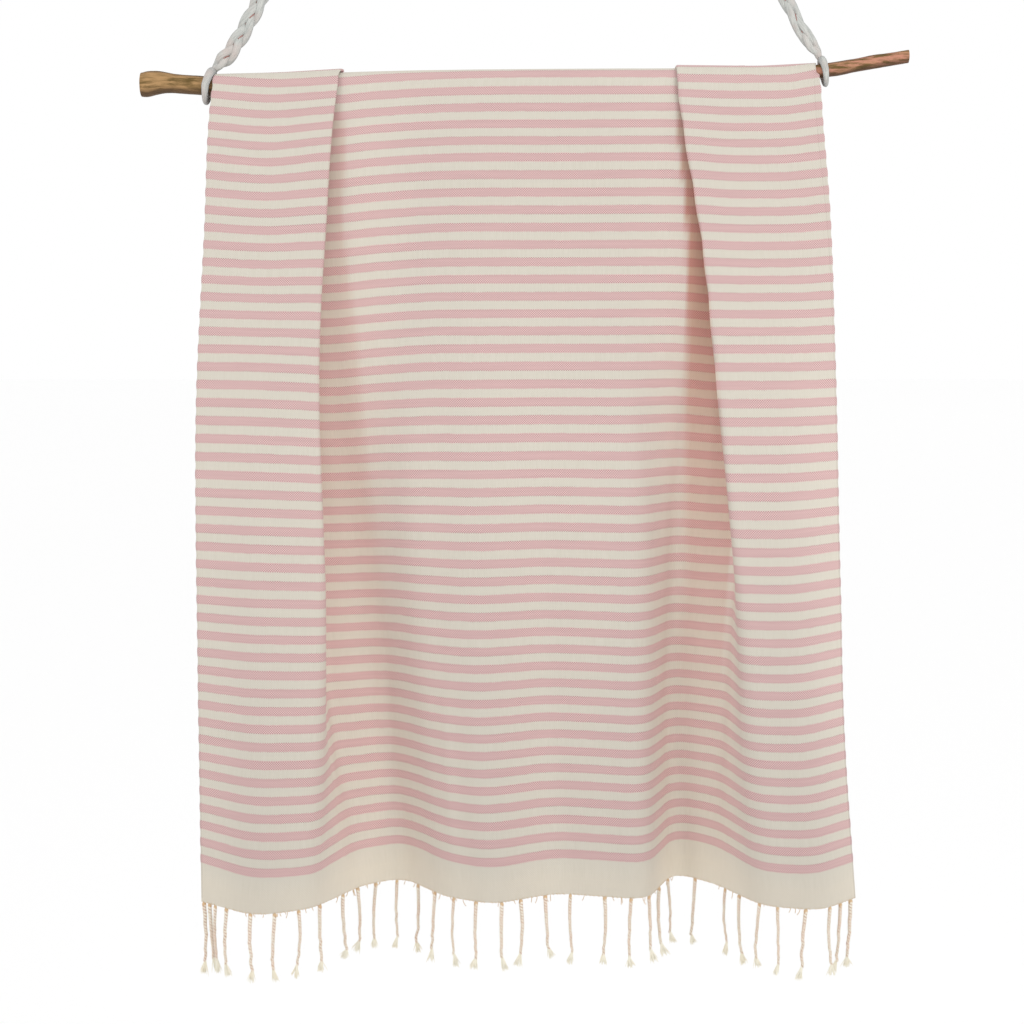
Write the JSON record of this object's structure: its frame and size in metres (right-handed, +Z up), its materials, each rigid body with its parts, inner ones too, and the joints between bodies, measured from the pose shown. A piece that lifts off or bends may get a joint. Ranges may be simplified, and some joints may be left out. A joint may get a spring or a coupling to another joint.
{
  "type": "hammam towel on a hanging stick",
  "caption": "Striped flatwoven cotton towel with a knotted fringe, folded over a driftwood stick that hangs from two plaited ropes.",
  "frame": {"origin": "the hanging point, midway between the eyes at the upper ends of the two ropes", "axes": "+Z up, +X along the stick to the right as seen from the front, the front of the towel faces -Y"},
  "size_m": [0.8822, 0.1879, 1.2351],
  "materials": {
    "cotton_cloth": "matt flatweave in cream with thin pink stripes",
    "fringe_cord": "matt twisted cream cotton with a tan yarn and loose tufts",
    "driftwood": "weathered, streaked, dull",
    "cotton_rope": "matt plaited off-white cotton"
  },
  "bodies": {
    "root": {"towel": "cotton_cloth", "fringe_front": "fringe_cord", "fringe_back": "fringe_cord", "stick": "driftwood", "rope_left": "cotton_rope", "rope_right": "cotton_rope", "loop_left": "cotton_rope", "loop_right": "cotton_rope", "eye_left": "cotton_rope", "eye_right": "cotton_rope"}
  },
  "joints": []
}
